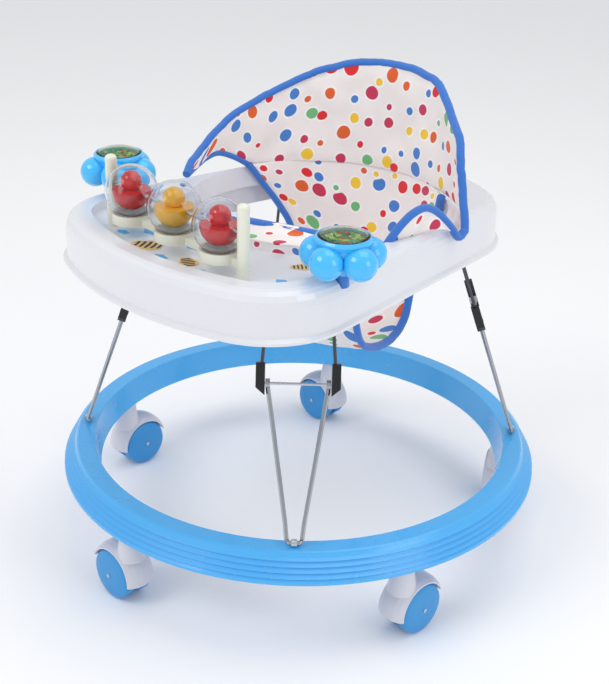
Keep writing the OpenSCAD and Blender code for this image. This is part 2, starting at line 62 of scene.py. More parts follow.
look, side = (look * math.cos(turn) + side * math.sin(turn),
              side * math.cos(turn) - look * math.sin(turn))
look, up = (look * math.cos(pitch) + up * math.sin(pitch),
            up * math.cos(pitch) - look * math.sin(pitch))
side, up = (side * math.cos(roll) + up * math.sin(roll),
            up * math.cos(roll) - side * math.sin(roll))
camera = bpy.data.objects.new("camera", bpy.data.cameras.new("camera"))
camera.data.lens, camera.data.sensor_width = 66.66, 36.0
camera.data.clip_start, camera.data.clip_end = 0.05, 50
camera.matrix_world = Matrix.Translation(ring_top + away * distance) @ Matrix(
    (side, up, -look)).transposed().to_4x4()
bpy.context.scene.collection.objects.link(camera)
bpy.context.scene.camera = camera

floor_mesh = bpy.data.meshes.new("floor")
floor_mesh.from_pydata([(-9, -9, -0.0005), (9, -9, -0.0005), (9, 9, -0.0005), (-9, 9, -0.0005)],
                       [], [(0, 1, 2, 3)])
floor = bpy.data.objects.new("floor", floor_mesh)
bpy.context.scene.collection.objects.link(floor)
floor_paint = bpy.data.materials.new("floor paint")
floor_paint.use_nodes = True
floor_shader = floor_paint.node_tree.nodes["Principled BSDF"]
floor_shader.inputs["Base Color"].default_value = (0.985, 0.985, 0.99, 1)
floor_shader.inputs["Roughness"].default_value = 0.75
floor_mesh.materials.append(floor_paint)

sky = bpy.data.worlds.new("studio")
sky.use_nodes = True
sky.node_tree.nodes["Background"].inputs["Color"].default_value = (0.97, 0.98, 1.0, 1)
sky.node_tree.nodes["Background"].inputs["Strength"].default_value = 0.72
bpy.context.scene.world = sky
bpy.context.scene.view_settings.view_transform = "Standard"


def softbox(name, place, aim, size, power):
    lamp = bpy.data.lights.new(name, "AREA")
    lamp.shape, lamp.size, lamp.size_y, lamp.energy = "RECTANGLE", size[0], size[1], power
    box = bpy.data.objects.new(name, lamp)
    box.location = place
    box.rotation_euler = (Vector(aim) - Vector(place)).to_track_quat("-Z", "Y").to_euler()
    bpy.context.scene.collection.objects.link(box)


softbox("key softbox", (-0.6, -2.2, 2.3), (0, 0, 0.3), (1.6, 1.2), 22)
softbox("top softbox", (0.4, 0.5, 2.6), (0, 0, 0.3), (1.8, 1.8), 13)
softbox("side softbox", (2.4, 0.2, 1.2), (0, 0, 0.3), (1.0, 1.4), 9)

# ---------------------------------------------------------------- base ring
# The bumper ring everything stands on: one hollow sky-blue moulding, glossy, ribbed outside,
# with a little moulding grain and a bossed seat for each caster inside it.


def shader_group(name, inputs, outputs):
    tree = bpy.data.node_groups.new(name, "ShaderNodeTree")
    for label, kind, value in inputs:
        socket = tree.interface.new_socket(name=label, in_out="INPUT", socket_type=kind)
        if value is not None:
            socket.default_value = value
    for label, kind in outputs:
        tree.interface.new_socket(name=label, in_out="OUTPUT", socket_type=kind)
    return tree, tree.nodes.new("NodeGroupInput"), tree.nodes.new("NodeGroupOutput")


def add(tree, kind, **settings):
    made = tree.nodes.new(kind)
    for key, value in settings.items():
        if key in made.inputs:
            made.inputs[key].default_value = value
        else:
            setattr(made, key, value)
    return made


# moulding skin: cloudy colour, fine grain and handling marks in the gloss
surface_outputs = [("Colour", "NodeSocketColor"), ("Roughness", "NodeSocketFloat"),
                   ("Normal", "NodeSocketVector")]
skin, skin_in, skin_out = shader_group(
    "moulding skin",
    [("Colour", "NodeSocketColor", (0.5, 0.5, 0.5, 1)), ("Cloud", "NodeSocketFloat", 0.06),
     ("Gloss", "NodeSocketFloat", 0.25), ("Grain", "NodeSocketFloat", 0.1)],
    surface_outputs)
skin_place = add(skin, "ShaderNodeTexCoord")
skin_cloud = add(skin, "ShaderNodeTexNoise", Scale=7.0, Detail=3.0)
skin_grain = add(skin, "ShaderNodeTexNoise", Scale=900.0, Detail=2.0)
skin_marks = add(skin, "ShaderNodeTexNoise", Scale=38.0, Detail=5.0)
for texture in (skin_cloud, skin_grain, skin_marks):
    skin.links.new(skin_place.outputs["Object"], texture.inputs["Vector"])
skin_shift = add(skin, "ShaderNodeMath", operation="MULTIPLY_ADD")
skin.links.new(skin_cloud.outputs["Fac"], skin_shift.inputs[0])
skin.links.new(skin_in.outputs["Cloud"], skin_shift.inputs[1])
skin_shift.inputs[2].default_value = 1.0
skin_tone = add(skin, "ShaderNodeHueSaturation")
skin.links.new(skin_in.outputs["Colour"], skin_tone.inputs["Color"])
skin.links.new(skin_shift.outputs[0], skin_tone.inputs["Value"])
skin_rough = add(skin, "ShaderNodeMath", operation="MULTIPLY_ADD")
skin.links.new(skin_marks.outputs["Fac"], skin_rough.inputs[0])
skin_rough.inputs[1].default_value = 0.12
skin.links.new(skin_in.outputs["Gloss"], skin_rough.inputs[2])
skin_bump = add(skin, "ShaderNodeBump", Distance=0.0004)
skin.links.new(skin_grain.outputs["Fac"], skin_bump.inputs["Height"])
skin.links.new(skin_in.outputs["Grain"], skin_bump.inputs["Strength"])
skin.links.new(skin_tone.outputs["Color"], skin_out.inputs["Colour"])
skin.links.new(skin_rough.outputs[0], skin_out.inputs["Roughness"])
skin.links.new(skin_bump.outputs["Normal"], skin_out.inputs["Normal"])


def linear(colour):
    return tuple((c / 12.92 if c <= 0.04045 else ((c + 0.055) / 1.055) ** 2.4) for c in colour)


def moulded(name, colour, gloss=0.22, cloud=0.08, grain=0.12, coat=0.0, metal=0.0):
    made = bpy.data.materials.new(name)
    made.use_nodes = True
    tree = made.node_tree
    shader = tree.nodes["Principled BSDF"]
    shell = add(tree, "ShaderNodeGroup", node_tree=skin)
    shell.inputs["Colour"].default_value = (*linear(colour), 1)
    shell.inputs["Cloud"].default_value = cloud
    shell.inputs["Gloss"].default_value = gloss
    shell.inputs["Grain"].default_value = grain
    tree.links.new(shell.outputs["Colour"], shader.inputs["Base Color"])
    tree.links.new(shell.outputs["Roughness"], shader.inputs["Roughness"])
    tree.links.new(shell.outputs["Normal"], shader.inputs["Normal"])
    shader.inputs["Coat Weight"].default_value = coat
    shader.inputs["Coat Roughness"].default_value = 0.08
    shader.inputs["Metallic"].default_value = metal
    return made


def finish_cad(material, *names):
    for name in names:
        mesh = nodes[name].data
        mesh.materials.clear()
        mesh.materials.append(material)


finish_cad(moulded("sky blue polypropylene", (0.29, 0.68, 0.93), gloss=0.2, cloud=0.07, coat=0.25),
           "base_ring")

# ---------------------------------------------------------------- casters
# Five twin-wheel casters: a steel pin in the ring's boss, a pale grey hood over both wheels,
# blue nylon wheels pressed on a steel axle.
bright_steel = moulded("zinc plated steel", (0.76, 0.77, 0.79), gloss=0.22, cloud=0.2, grain=0.2,
                       metal=1.0)
hood_grey = moulded("pale grey hood", (0.83, 0.83, 0.86), gloss=0.28, cloud=0.06)
wheel_nylon = moulded("blue wheel nylon", (0.2, 0.57, 0.82), gloss=0.3, cloud=0.1, grain=0.3)
for number in range(1, 6):
    finish_cad(bright_steel, f"caster_stem_{number}", f"caster_axle_{number}")
    finish_cad(hood_grey, f"caster_hood_{number}")
    finish_cad(wheel_nylon, f"caster_wheels_{number}")

# ---------------------------------------------------------------- legs
# Each leg is a chromed V of spring wire in a steel eye on the ring, joined at the knee by a
# thin rod to black blocks on a dark upper wire whose top turns in black mounts under the tray.
chrome = moulded("chromed wire", (0.6, 0.61, 0.63), gloss=0.1, cloud=0.5, grain=0.1, metal=1.0)
dark_wire = moulded("black oxide wire", (0.3, 0.31, 0.33), gloss=0.28, cloud=0.5, metal=0.9)
black_nylon = moulded("black nylon", (0.06, 0.06, 0.07), gloss=0.38, cloud=0.4, grain=0.4)
finish_cad(bright_steel, "foot_eyes", *[f"knee_rod_{n}" for n in range(1, 5)])
finish_cad(chrome, *[f"lower_leg_{n}" for n in range(1, 5)])
finish_cad(dark_wire, *[f"upper_leg_{n}" for n in range(1, 5)])
finish_cad(black_nylon, "leg_mounts", *[f"knee_blocks_{n}" for n in range(1, 5)])

# ---------------------------------------------------------------- tray
# The white tray is one glossy moulding with a deep skirt, a rounded rim, a sunk play floor in
# front and a round opening for the seat.
finish_cad(moulded("tray white", (0.885, 0.89, 0.91), gloss=0.13, cloud=0.03, grain=0.06,
                   coat=0.3), "tray")

# ---------------------------------------------------------------- tray stickers
# Printed film on the play floor: plain blue clouds and sandy patches with black bars. The clouds
# and patches are die-cut, three tenths of a millimetre thick, and the bars on them are thinner.
floor_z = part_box("tray_stickers")[0][2]
film_thick, bar_thick = 0.0003, 0.0002


def die_cut(points, z, thick, into):
    count = len(points)
    base = len(into[0])
    into[0].extend([(x, y, z) for x, y in points] + [(x, y, z + thick) for x, y in points])
    into[1].append(tuple(base + i for i in reversed(range(count))))
    into[1].append(tuple(base + count + i for i in range(count)))
    into[1].extend([(base + i, base + (i + 1) % count, base + count + (i + 1) % count,
                     base + count + i) for i in range(count)])


def cloud_outline(x, y, r, lobes, squash, turn=0.0):
    made = []
    for i in range(72):
        a = 2 * math.pi * i / 72
        d = r * (0.8 + 0.25 * abs(math.sin(lobes * a / 2)))
        px, py = d * math.cos(a), d * squash * math.sin(a)
        made.append((x + px * math.cos(turn) - py * math.sin(turn),
                     y + px * math.sin(turn) + py * math.cos(turn)))
    return made


clouds, patches, bars = ([], []), ([], []), ([], [])
for x, y, r in ((-0.063, -0.172, 0.012), (0.004, -0.166, 0.012), (0.003, -0.212, 0.009),
                (0.064, -0.207, 0.008), (-0.084, -0.196, 0.008), (0.138, -0.163, 0.009)):
    die_cut(cloud_outline(x, y, r, 5, 0.62), floor_z, film_thick, clouds)
for x, y, r, turn in ((-0.033, -0.200, 0.019, 0.5), (0.034, -0.200, 0.014, -0.4),
                      (0.048, -0.182, 0.011, 0.3), (0.121, -0.120, 0.012, 0.9)):
    die_cut(cloud_outline(x, y, r, 3, 0.75, turn), floor_z, film_thick, patches)
    for k in range(-2, 3):
        bar_x, bar_y = x + k * r * 0.34 * math.cos(turn), y + k * r * 0.34 * math.sin(turn)
        long, wide = r * (0.56 - 0.09 * abs(k)), r * 0.075
        c, s = math.cos(turn), math.sin(turn)
        die_cut([(bar_x + u * wide * c - v * long * s, bar_y + u * wide * s + v * long * c)
                 for u, v in ((-1, -0.8), (0, -1), (1, -0.8), (1.3, 0), (1, 0.8), (0, 1),
                              (-1, 0.8), (-0.7, 0))], floor_z + film_thick, bar_thick, bars)
for name, (points, faces), colour in (("sticker_clouds", clouds, (0.35, 0.68, 0.9)),
                                      ("sticker_patches", patches, (0.87, 0.72, 0.45)),
                                      ("sticker_bars", bars, (0.1, 0.09, 0.1))):
    mesh = bpy.data.meshes.new(name)
    mesh.from_pydata(points, [], faces)
    mesh.materials.append(moulded(name.replace("_", " ") + " film", colour, gloss=0.3, cloud=0.1))
    film = bpy.data.objects.new(name, mesh)
    bpy.context.scene.collection.objects.link(film)
    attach(film, "tray")
    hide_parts("tray_stickers")

# ---------------------------------------------------------------- toy bar
# Ivory frame with two posts and a cupped rail, a steel rod, and three clear balls that spin on
# it, each with a plain coloured bobbin moulded inside.
finish_cad(moulded("ivory styrene", (0.9, 0.905, 0.84), gloss=0.2, cloud=0.05, coat=0.2),
           "toy_frame")
finish_cad(bright_steel, "toy_rod")
toy_red = moulded("toy red", (0.86, 0.1, 0.12), gloss=0.12, cloud=0.15, coat=0.4)
finish_cad(toy_red, "ball_figure_1", "ball_figure_3")
finish_cad(moulded("toy yellow", (0.97, 0.72, 0.13), gloss=0.14, cloud=0.12, coat=0.3),
           "ball_figure_2")


def clear_plastic(name, colour, rough=0.03):
    made = bpy.data.materials.new(name)
    made.use_nodes = True
    tree = made.node_tree
    shader = tree.nodes["Principled BSDF"]
    place = add(tree, "ShaderNodeTexCoord")
    ripple = add(tree, "ShaderNodeTexNoise", Scale=60.0, Detail=2.0)
    bump = add(tree, "ShaderNodeBump", Strength=0.08, Distance=0.0005)
    tree.links.new(place.outputs["Object"], ripple.inputs["Vector"])
    tree.links.new(ripple.outputs["Fac"], bump.inputs["Height"])
    tree.links.new(bump.outputs["Normal"], shader.inputs["Normal"])
    shader.inputs["Base Color"].default_value = (*linear(colour), 1)
    shader.inputs["Transmission Weight"].default_value = 1.0
    shader.inputs["Roughness"].default_value = rough
    shader.inputs["IOR"].default_value = 1.3
    return made


finish_cad(clear_plastic("clear styrene", (0.96, 0.97, 0.98)),
           "ball_shell_1", "ball_shell_2", "ball_shell_3")

# ---------------------------------------------------------------- flower knobs
# Two sky-blue flowers turn on blue stems at the tray's front corners. A clear dome on each cup
# covers a green disc with red beads.
finish_cad(moulded("stem blue", (0.2, 0.47, 0.78), gloss=0.2), "flower_stems")
finish_cad(moulded("flower blue", (0.25, 0.74, 0.98), gloss=0.1, cloud=0.05, coat=0.6),
           "flower_left", "flower_right")
finish_cad(clear_plastic("clear dome", (0.9, 0.97, 0.86)), "dome_left", "dome_right")

bead_paint = bpy.data.materials.new("bubbled green disc")
bead_paint.use_nodes = True
bead_tree = bead_paint.node_tree
bead_shader = bead_tree.nodes["Principled BSDF"]
bead_place = add(bead_tree, "ShaderNodeTexCoord")
bead_cells = add(bead_tree, "ShaderNodeTexVoronoi", Scale=190.0)
bead_ramp = add(bead_tree, "ShaderNodeValToRGB")
bead_ramp.color_ramp.interpolation = "CONSTANT"
for place, colour in ((0.0, (0.22, 0.6, 0.55)), (0.34, (0.62, 0.74, 0.3)),
                      (0.55, (0.1, 0.42, 0.4)), (0.72, (0.85, 0.25, 0.1)),
                      (0.88, (0.9, 0.85, 0.6))):
    stop = bead_ramp.color_ramp.elements.new(place) if place else bead_ramp.color_ramp.elements[0]
    stop.color = (*linear(colour), 1)
bead_ramp.color_ramp.elements[-1].color = (*linear((0.9, 0.85, 0.6)), 1)
bead_split = add(bead_tree, "ShaderNodeSeparateColor")
bead_bump = add(bead_tree, "ShaderNodeBump", Strength=0.7, Distance=0.002, invert=True)
bead_tree.links.new(bead_place.outputs["Object"], bead_cells.inputs["Vector"])
bead_tree.links.new(bead_cells.outputs["Color"], bead_split.inputs["Color"])
bead_tree.links.new(bead_split.outputs["Red"], bead_ramp.inputs["Fac"])
bead_tree.links.new(bead_ramp.outputs["Color"], bead_shader.inputs["Base Color"])
bead_tree.links.new(bead_cells.outputs["Distance"], bead_bump.inputs["Height"])
bead_tree.links.new(bead_bump.outputs["Normal"], bead_shader.inputs["Normal"])
bead_shader.inputs["Roughness"].default_value = 0.2
finish_cad(bead_paint, "insert_left", "insert_right")

# ---------------------------------------------------------------- seat cloth
# Off-white polyester twill printed with loose coloured spots, backed with thin wadding. The
# seat hangs turned in its opening: a tall backrest, a rear wall that runs into the crotch
# strip, and a low flap at the right hip.
seat_turn, seat_y = math.radians(20), 0.020


def on_seat(angle, radius, z):
    """A point of the seat: angle from the middle of the back, + to the wearer's right."""
    a = math.radians(90 + angle) + seat_turn
    return (radius * math.cos(a), seat_y + radius * math.sin(a), z)


def in_seat(x, y, z):
    c, s = math.cos(seat_turn), math.sin(seat_turn)
    return (x * c - y * s, seat_y + x * s + y * c, z)


def smooth_line(points, count):
    """Points evenly spread in parameter along a Catmull-Rom curve."""
    p = np.array(points, float)
    p = np.vstack([2 * p[0] - p[1], p, 2 * p[-1] - p[-2]])
    t = np.linspace(0, len(p) - 3 - 1e-9, count)
    i = t.astype(int)
    f = (t - i)[:, None]
    a, b, c, d = p[i], p[i + 1], p[i + 2], p[i + 3]
    return 0.5 * (2 * b + (c - a) * f + (2 * a - 5 * b + 4 * c - d) * f ** 2
                  + (3 * b - a - 3 * c + d) * f ** 3)


def crease(point, size, seed):
    return noise.noise(Vector(point) * size + Vector((seed, seed * 1.7, seed * 0.6)))


def padded_cloth(name, rows, across, along, thick, puff, folds, seed):
    """A padded cloth through rows of points: two faces, rounded at every edge."""
    grid = np.stack([smooth_line(row, across) for row in rows])
    grid = np.stack([smooth_line(grid[:, i], along) for i in range(across)], axis=1)
    du = np.gradient(grid, axis=1)
    dv = np.gradient(grid, axis=0)
    out = np.cross(du, dv)
    out /= np.linalg.norm(out, axis=2, keepdims=True) + 1e-12
    v, u = np.meshgrid(np.linspace(0, 1, along), np.linspace(0, 1, across), indexing="ij")
    rim = np.minimum(np.minimum(v, 1 - v) * 9, np.minimum(u, 1 - u) * 14).clip(0, 1)
    rim = rim ** 0.6
    wave = np.array([[crease(grid[j, i], 16, seed) * 0.65 + crease(grid[j, i], 38, seed + 5) * 0.35
                      for i in range(across)] for j in range(along)])
    middle = grid + out * (wave * folds * (0.35 + 0.65 * rim))[..., None]
    half = (thick / 2 * (0.45 + 0.55 * rim) + puff * rim * (1 - 0.5 * np.abs(wave)))[..., None]
    faces_of = (middle + out * half, middle - out * half)
    run_u = np.cumsum(np.linalg.norm(np.diff(grid, axis=1, prepend=grid[:, :1]), axis=2), axis=1)
    run_v = np.cumsum(np.linalg.norm(np.diff(grid, axis=0, prepend=grid[:1]), axis=2), axis=0)
    run_u -= run_u[:, -1:] / 2
    flat = np.stack([run_u, run_v], axis=2).reshape(-1, 2)
    points = np.concatenate([f.reshape(-1, 3) for f in faces_of])
    n = across * along

    def at(j, i, face):
        return face * n + j * across + i

    quads = []
    for j in range(along - 1):
        for i in range(across - 1):
            quads.append((at(j, i, 0), at(j, i + 1, 0), at(j + 1, i + 1, 0), at(j + 1, i, 0)))
            quads.append((at(j, i, 1), at(j + 1, i, 1), at(j + 1, i + 1, 1), at(j, i + 1, 1)))
    for i in range(across - 1):
        quads.append((at(0, i, 0), at(0, i, 1), at(0, i + 1, 1), at(0, i + 1, 0)))
        quads.append((at(along - 1, i, 0), at(along - 1, i + 1, 0), at(along - 1, i + 1, 1),
                      at(along - 1, i, 1)))
    for j in range(along - 1):
        quads.append((at(j, 0, 0), at(j + 1, 0, 0), at(j + 1, 0, 1), at(j, 0, 1)))
        quads.append((at(j, across - 1, 0), at(j, across - 1, 1), at(j + 1, across - 1, 1),
                      at(j + 1, across - 1, 0)))
    mesh = bpy.data.meshes.new(name)
    mesh.from_pydata(points.tolist(), [], quads)
    spread = mesh.uv_layers.new(name="cloth")
    corner = np.zeros(len(mesh.loops), np.int32)
    mesh.loops.foreach_get("vertex_index", corner)
    spread.data.foreach_set("uv", flat[corner % n].astype(np.float32).ravel())
    mesh.polygons.foreach_set("use_smooth", [True] * len(mesh.polygons))
    mesh.update()
    made = bpy.data.objects.new(name, mesh)
    bpy.context.scene.collection.objects.link(made)
    return made


# woven cloth: two thread directions, a little slub, and soft shade between threads
weave, weave_in, weave_out = shader_group(
    "woven threads",
    [("Colour", "NodeSocketColor", (0.5, 0.5, 0.5, 1)), ("Place", "NodeSocketVector", None),
     ("Threads", "NodeSocketFloat", 900.0), ("Depth", "NodeSocketFloat", 0.3)],
    surface_outputs)
warp = add(weave, "ShaderNodeTexWave", bands_direction="X", Distortion=0.6)
weft = add(weave, "ShaderNodeTexWave", bands_direction="Y", Distortion=0.6)
slub = add(weave, "ShaderNodeTexNoise", Scale=22.0, Detail=6.0)
for texture in (warp, weft, slub):
    weave.links.new(weave_in.outputs["Place"], texture.inputs["Vector"])
for texture in (warp, weft):
    weave.links.new(weave_in.outputs["Threads"], texture.inputs["Scale"])
both = add(weave, "ShaderNodeMath", operation="MULTIPLY")
weave.links.new(warp.outputs["Fac"], both.inputs[0])
weave.links.new(weft.outputs["Fac"], both.inputs[1])
shade = add(weave, "ShaderNodeMath", operation="MULTIPLY_ADD")
weave.links.new(slub.outputs["Fac"], shade.inputs[0])
shade.inputs[1].default_value = 0.16
shade.inputs[2].default_value = 0.94
tone = add(weave, "ShaderNodeHueSaturation")
weave.links.new(weave_in.outputs["Colour"], tone.inputs["Color"])
weave.links.new(shade.outputs[0], tone.inputs["Value"])
nap = add(weave, "ShaderNodeMath", operation="MULTIPLY_ADD")
weave.links.new(slub.outputs["Fac"], nap.inputs[0])
nap.inputs[1].default_value = 0.15
nap.inputs[2].default_value = 0.68
thread_bump = add(weave, "ShaderNodeBump", Distance=0.0004)
weave.links.new(both.outputs[0], thread_bump.inputs["Height"])
weave.links.new(weave_in.outputs["Depth"], thread_bump.inputs["Strength"])
weave.links.new(tone.outputs["Color"], weave_out.inputs["Colour"])
weave.links.new(nap.outputs[0], weave_out.inputs["Roughness"])
weave.links.new(thread_bump.outputs["Normal"], weave_out.inputs["Normal"])

spotted = bpy.data.materials.new("spotted polyester twill")
spotted.use_nodes = True
print_tree = spotted.node_tree
cloth_shader = print_tree.nodes["Principled BSDF"]
cloth_uv = add(print_tree, "ShaderNodeUVMap", uv_map="cloth")
cells = add(print_tree, "ShaderNodeTexVoronoi", Scale=37.0, Randomness=0.66)
cells.voronoi_dimensions = "2D"
wobble = add(print_tree, "ShaderNodeTexNoise", Scale=28.0, Detail=1.0)
bent = add(print_tree, "ShaderNodeVectorMath", operation="MULTIPLY_ADD")
print_tree.links.new(cloth_uv.outputs["UV"], wobble.inputs["Vector"])
print_tree.links.new(wobble.outputs["Color"], bent.inputs[0])
bent.inputs[1].default_value = (0.006, 0.006, 0)
print_tree.links.new(cloth_uv.outputs["UV"], bent.inputs[2])
print_tree.links.new(bent.outputs["Vector"], cells.inputs["Vector"])
cell_parts = add(print_tree, "ShaderNodeSeparateColor")
print_tree.links.new(cells.outputs["Color"], cell_parts.inputs["Color"])
reach = add(print_tree, "ShaderNodeMapRange")
reach.inputs["To Min"].default_value = 0.14
reach.inputs["To Max"].default_value = 0.38
print_tree.links.new(cell_parts.outputs["Green"], reach.inputs["Value"])
gap = add(print_tree, "ShaderNodeMath", operation="SUBTRACT")
print_tree.links.new(reach.outputs["Result"], gap.inputs[0])
print_tree.links.new(cells.outputs["Distance"], gap.inputs[1])
inked = add(print_tree, "ShaderNodeMapRange")
inked.inputs["From Min"].default_value = 0.0
inked.inputs["From Max"].default_value = 0.03
print_tree.links.new(gap.outputs[0], inked.inputs["Value"])
halo = add(print_tree, "ShaderNodeMapRange")
halo.inputs["From Min"].default_value = -0.09
halo.inputs["From Max"].default_value = -0.03
print_tree.links.new(gap.outputs[0], halo.inputs["Value"])
inks = add(print_tree, "ShaderNodeValToRGB")
inks.color_ramp.interpolation = "CONSTANT"
palette = ((0.0, (0.9, 0.14, 0.16)), (0.2, (0.9, 0.38, 0.13)), (0.4, (0.8, 0.19, 0.33)),
           (0.56, (0.27, 0.5, 0.8)), (0.8, (0.45, 0.73, 0.47)), (0.88, (0.98, 0.8, 0.2)))
while len(inks.color_ramp.elements) < len(palette):
    inks.color_ramp.elements.new(0.5)
for stop, (place, colour) in zip(inks.color_ramp.elements, palette):
    stop.position = place
    stop.color = (*linear(colour), 1)
print_tree.links.new(cell_parts.outputs["Red"], inks.inputs["Fac"])
ground = add(print_tree, "ShaderNodeMix", data_type="RGBA")
ground.inputs["A"].default_value = (*linear((0.965, 0.935, 0.92)), 1)
ground.inputs["B"].default_value = (*linear((0.99, 0.985, 0.98)), 1)
print_tree.links.new(halo.outputs["Result"], ground.inputs["Factor"])
print_mix = add(print_tree, "ShaderNodeMix", data_type="RGBA")
print_tree.links.new(inked.outputs["Result"], print_mix.inputs["Factor"])
print_tree.links.new(ground.outputs["Result"], print_mix.inputs["A"])
print_tree.links.new(inks.outputs["Color"], print_mix.inputs["B"])
cloth_weave = add(print_tree, "ShaderNodeGroup", node_tree=weave)
cloth_weave.inputs["Threads"].default_value = 420.0
cloth_weave.inputs["Depth"].default_value = 0.25
print_tree.links.new(cloth_uv.outputs["UV"], cloth_weave.inputs["Place"])
print_tree.links.new(print_mix.outputs["Result"], cloth_weave.inputs["Colour"])
print_tree.links.new(cloth_weave.outputs["Colour"], cloth_shader.inputs["Base Color"])
print_tree.links.new(cloth_weave.outputs["Roughness"], cloth_shader.inputs["Roughness"])
print_tree.links.new(cloth_weave.outputs["Normal"], cloth_shader.inputs["Normal"])
cloth_shader.inputs["Sheen Weight"].default_value = 0.15

# Backrest: from the seam at the rim up to the bound top edge. Its left side arches over the
# leg hole; its right side falls outwards over the tray's edge.
back_low = [on_seat(*p) for p in (
    (102, 0.157, 0.436), (94, 0.158, 0.438), (85, 0.158, 0.443), (77, 0.156, 0.445),
    (69, 0.153, 0.437), (61, 0.150, 0.424), (48, 0.147, 0.423), (30, 0.145, 0.423),
    (10, 0.144, 0.423), (-10, 0.144, 0.423), (-30, 0.146, 0.423), (-48, 0.150, 0.423),
    (-56, 0.153, 0.424), (-64, 0.158, 0.4235), (-72, 0.165, 0.422), (-79, 0.170, 0.4205),
    (-84, 0.175, 0.417), (-91, 0.179, 0.4085))]
back_top = [on_seat(*p) for p in (
    (104, 0.157, 0.438), (97, 0.158, 0.447), (88, 0.157, 0.456), (79, 0.155, 0.472),
    (67, 0.152, 0.490), (55, 0.149, 0.504), (42, 0.147, 0.519), (26, 0.145, 0.537),
    (8, 0.144, 0.550), (-10, 0.144, 0.554), (-26, 0.146, 0.553), (-41, 0.150, 0.545),
    (-53, 0.150, 0.529), (-64, 0.153, 0.514), (-73, 0.159, 0.504), (-79, 0.163, 0.486),
    (-83, 0.170, 0.455), (-89, 0.181, 0.414))]


def rows_between(low, top, shares):
    return [[tuple(np.array(a) * (1 - k) + np.array(b) * k) for a, b in zip(low, top)]
            for k in shares]


back_rows = rows_between(back_low, back_top, (0.0, 0.33, 0.67, 1.0))
backrest = padded_cloth("backrest", back_rows, 160, 48, 0.0055, 0.0012, 0.0058, 3.0)

# Rear wall and crotch strip: hangs from the seam, narrows between the leg holes, passes under
# the wearer and comes up to the front band.
sling_rows = []
side_to_side = (-1, -0.75, -0.5, -0.25, 0, 0.25, 0.5, 0.75, 1)
for half_angle, radius, z, lift in (
        (61, 0.1455, 0.4235, 0.0005), (52, 0.1465, 0.392, 0.002), (44, 0.145, 0.362, 0.003),
        (38, 0.140, 0.330, 0.004)):
    sling_rows.append([in_seat(-radius * math.sin(math.radians(half_angle * k)),
                               radius * math.cos(math.radians(half_angle * k)),
                               z + lift * k * k) for k in side_to_side])
for half, y, bow, z, lift in (
        (0.084, 0.124, 0.020, 0.290, 0.002), (0.083, 0.100, 0.008, 0.254, 0.0),
        (0.082, 0.060, 0.002, 0.238, 0.002), (0.080, 0.010, 0.0, 0.240, 0.006),
        (0.080, -0.040, 0.0, 0.266, 0.006), (0.082, -0.070, 0.0, 0.330, 0.0),
        (0.086, -0.092, 0.0, 0.412, 0.0), (0.087, -0.106, 0.0, 0.4145, 0.0),
        (0.087, -0.147, -0.026, 0.4175, 0.0)):
    sling_rows.append([in_seat(-half * k, y - bow * k * k, z + lift * k * k)
                       for k in side_to_side])
sling = padded_cloth("sling", sling_rows[::-1], 70, 150, 0.004, 0.0008, 0.004, 11.0)

# Hip flap: the low part of the right side that stands in the opening and leans over the rim.
flap_top = [on_seat(*p) for p in (
    (-93, 0.178, 0.409), (-96, 0.172, 0.423), (-100, 0.165, 0.438), (-104, 0.160, 0.447),
    (-108, 0.157, 0.450), (-113, 0.154, 0.446), (-118, 0.151, 0.435), (-123, 0.149, 0.419),
    (-128, 0.147, 0.400))]
flap_low = [on_seat(*p) for p in (
    (-94, 0.176, 0.4075), (-97, 0.171, 0.4195), (-101, 0.164, 0.4225), (-105, 0.157, 0.4225),
    (-109, 0.149, 0.414), (-113, 0.148, 0.404), (-118, 0.147, 0.396), (-123, 0.146, 0.390),
    (-128, 0.145, 0.386))]
flap_rows = rows_between(flap_low, flap_top, (0.0, 0.5, 1.0))
hip_flap = padded_cloth("hip_flap", flap_rows, 50, 16, 0.003, 0.0006, 0.0015, 21.0)

for cloth, stands_for in ((backrest, "seat_back"), (sling, "seat_sling"),
                          (hip_flap, "seat_back")):
    cloth.data.materials.append(spotted)
    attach(cloth, "tray")
    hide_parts(stands_for)
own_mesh(sling)

# ---------------------------------------------------------------- binding
# Folded blue tape sewn over every cut edge: the top of the backrest, both leg holes and the
# front band. Each run is swept along its edge and pinched a little by the stitching.
blue_tape = bpy.data.materials.new("blue binding tape")
blue_tape.use_nodes = True
tape_tree = blue_tape.node_tree
tape_shader = tape_tree.nodes["Principled BSDF"]
tape_place = add(tape_tree, "ShaderNodeTexCoord")
tape_weave = add(tape_tree, "ShaderNodeGroup", node_tree=weave)
tape_weave.inputs["Colour"].default_value = (*linear((0.2, 0.45, 0.79)), 1)
tape_weave.inputs["Threads"].default_value = 500.0
tape_weave.inputs["Depth"].default_value = 0.4
tape_tree.links.new(tape_place.outputs["Object"], tape_weave.inputs["Place"])
for label, socket in (("Colour", "Base Color"), ("Roughness", "Roughness"),
                      ("Normal", "Normal")):
    tape_tree.links.new(tape_weave.outputs[label], tape_shader.inputs[socket])
tape_shader.inputs["Sheen Weight"].default_value = 0.25

